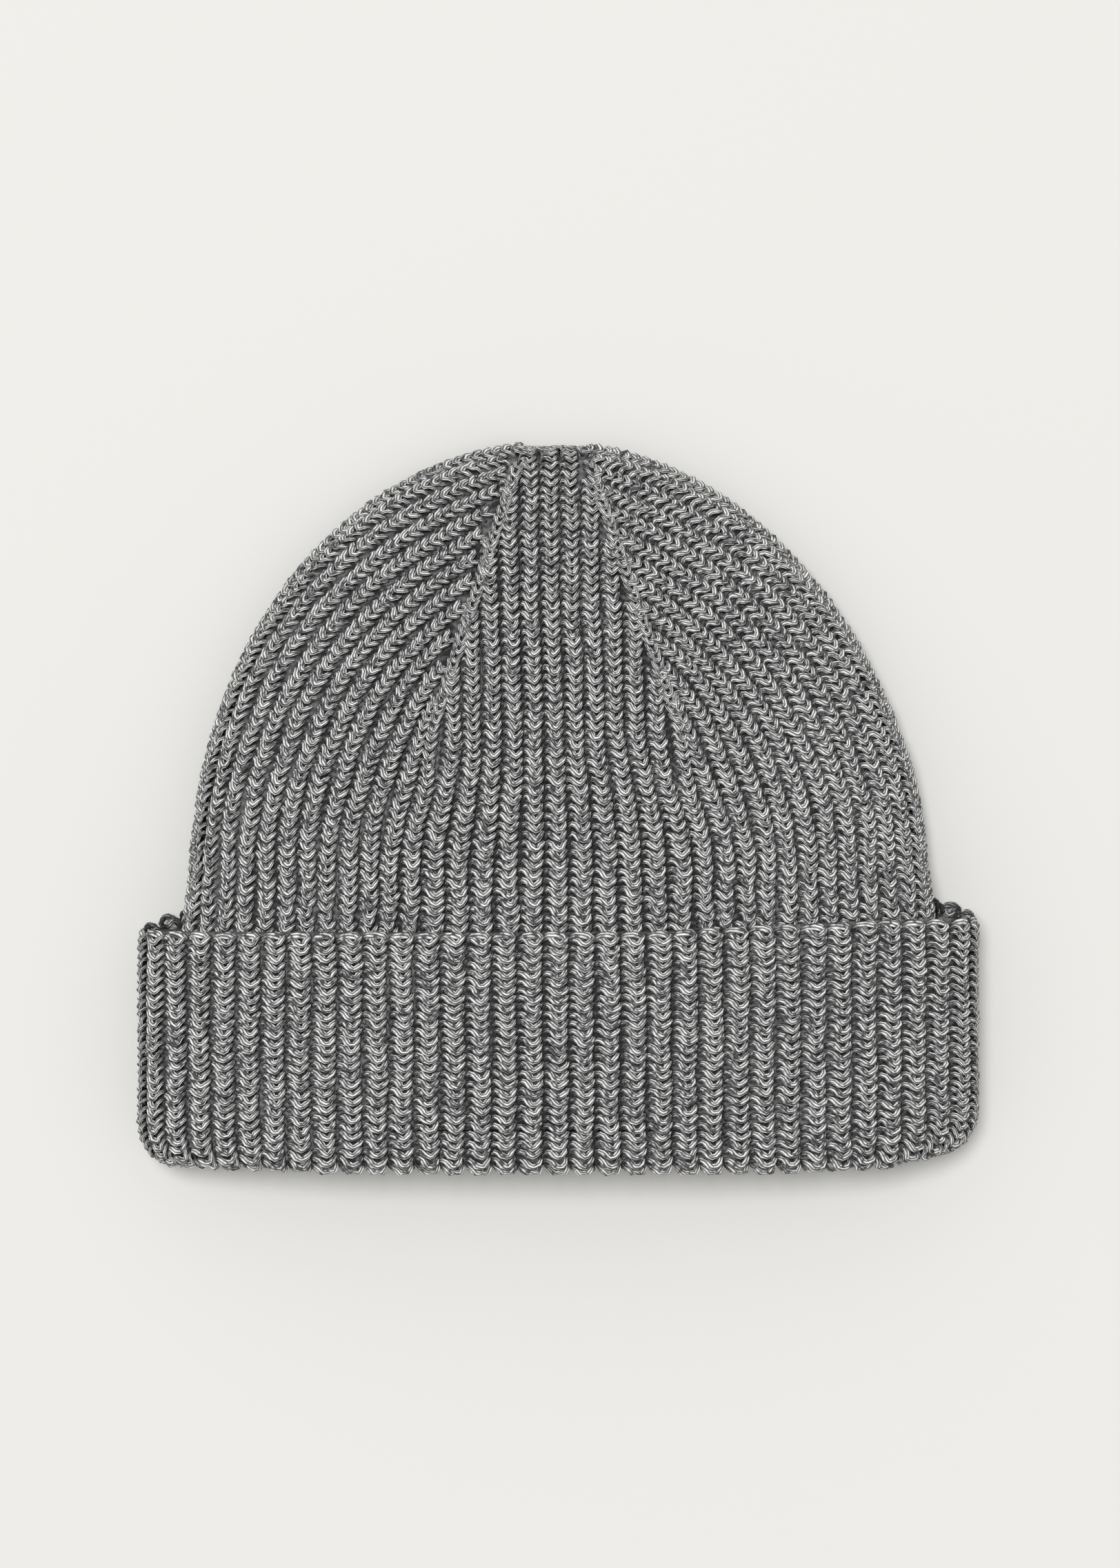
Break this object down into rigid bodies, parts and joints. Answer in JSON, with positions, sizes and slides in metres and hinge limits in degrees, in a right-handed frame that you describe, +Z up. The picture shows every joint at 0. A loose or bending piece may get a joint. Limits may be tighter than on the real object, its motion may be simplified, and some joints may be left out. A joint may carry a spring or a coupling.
{
  "type": "knit beanie",
  "caption": "Chunky rib-knit beanie in marled grey with a deep turned-up cuff and a fashioned crown, lying flat on its back.",
  "frame": {"origin": "on the surface the hat lies on, under the middle of its outline", "axes": "+X across the hat, +Y from the mouth to the crown, +Z up from the surface"},
  "size_m": [0.24, 0.2064, 0.041],
  "materials": {
    "rib_knit": "marled grey half-cardigan rib, soft and matt",
    "linking_yarn": "same marled yarn, linked chain",
    "edge_yarn": "same marled yarn, bound-off chain",
    "label_tape": "plain woven tape, satin"
  },
  "bodies": {
    "hat": {"body_back_left": "rib_knit", "body_back_right": "rib_knit", "body_back_seam": "linking_yarn", "body_front": "rib_knit", "care_label": "label_tape", "crown_back_left": "rib_knit", "crown_back_right": "rib_knit", "crown_back_seam": "linking_yarn", "crown_front": "rib_knit", "crown_gather": "rib_knit", "crown_left": "rib_knit", "crown_link_back_left": "linking_yarn", "crown_link_back_right": "linking_yarn", "crown_link_front_left": "linking_yarn", "crown_link_front_right": "linking_yarn", "crown_right": "rib_knit", "cuff_back_left": "rib_knit", "cuff_back_right": "rib_knit", "cuff_back_seam": "linking_yarn", "cuff_edge_back": "edge_yarn", "cuff_edge_left": "edge_yarn", "cuff_edge_right": "edge_yarn", "cuff_side_left": "rib_knit", "cuff_side_right": "rib_knit", "mouth_fold_back": "rib_knit", "mouth_fold_front": "rib_knit", "mouth_fold_left": "rib_knit", "mouth_fold_right": "rib_knit"},
    "cuff_flap": {"cuff_front": "rib_knit", "cuff_edge_front": "edge_yarn"}
  },
  "joints": [
    {"name": "cuff_lift", "type": "hinge", "parent": "hat", "child": "cuff_flap", "pos_m": [0, -0.09065, 0.0413], "axis": [1, 0, 0], "range_deg": [0, 30], "stiffness_Nm_per_rad": 0.02}
  ]
}
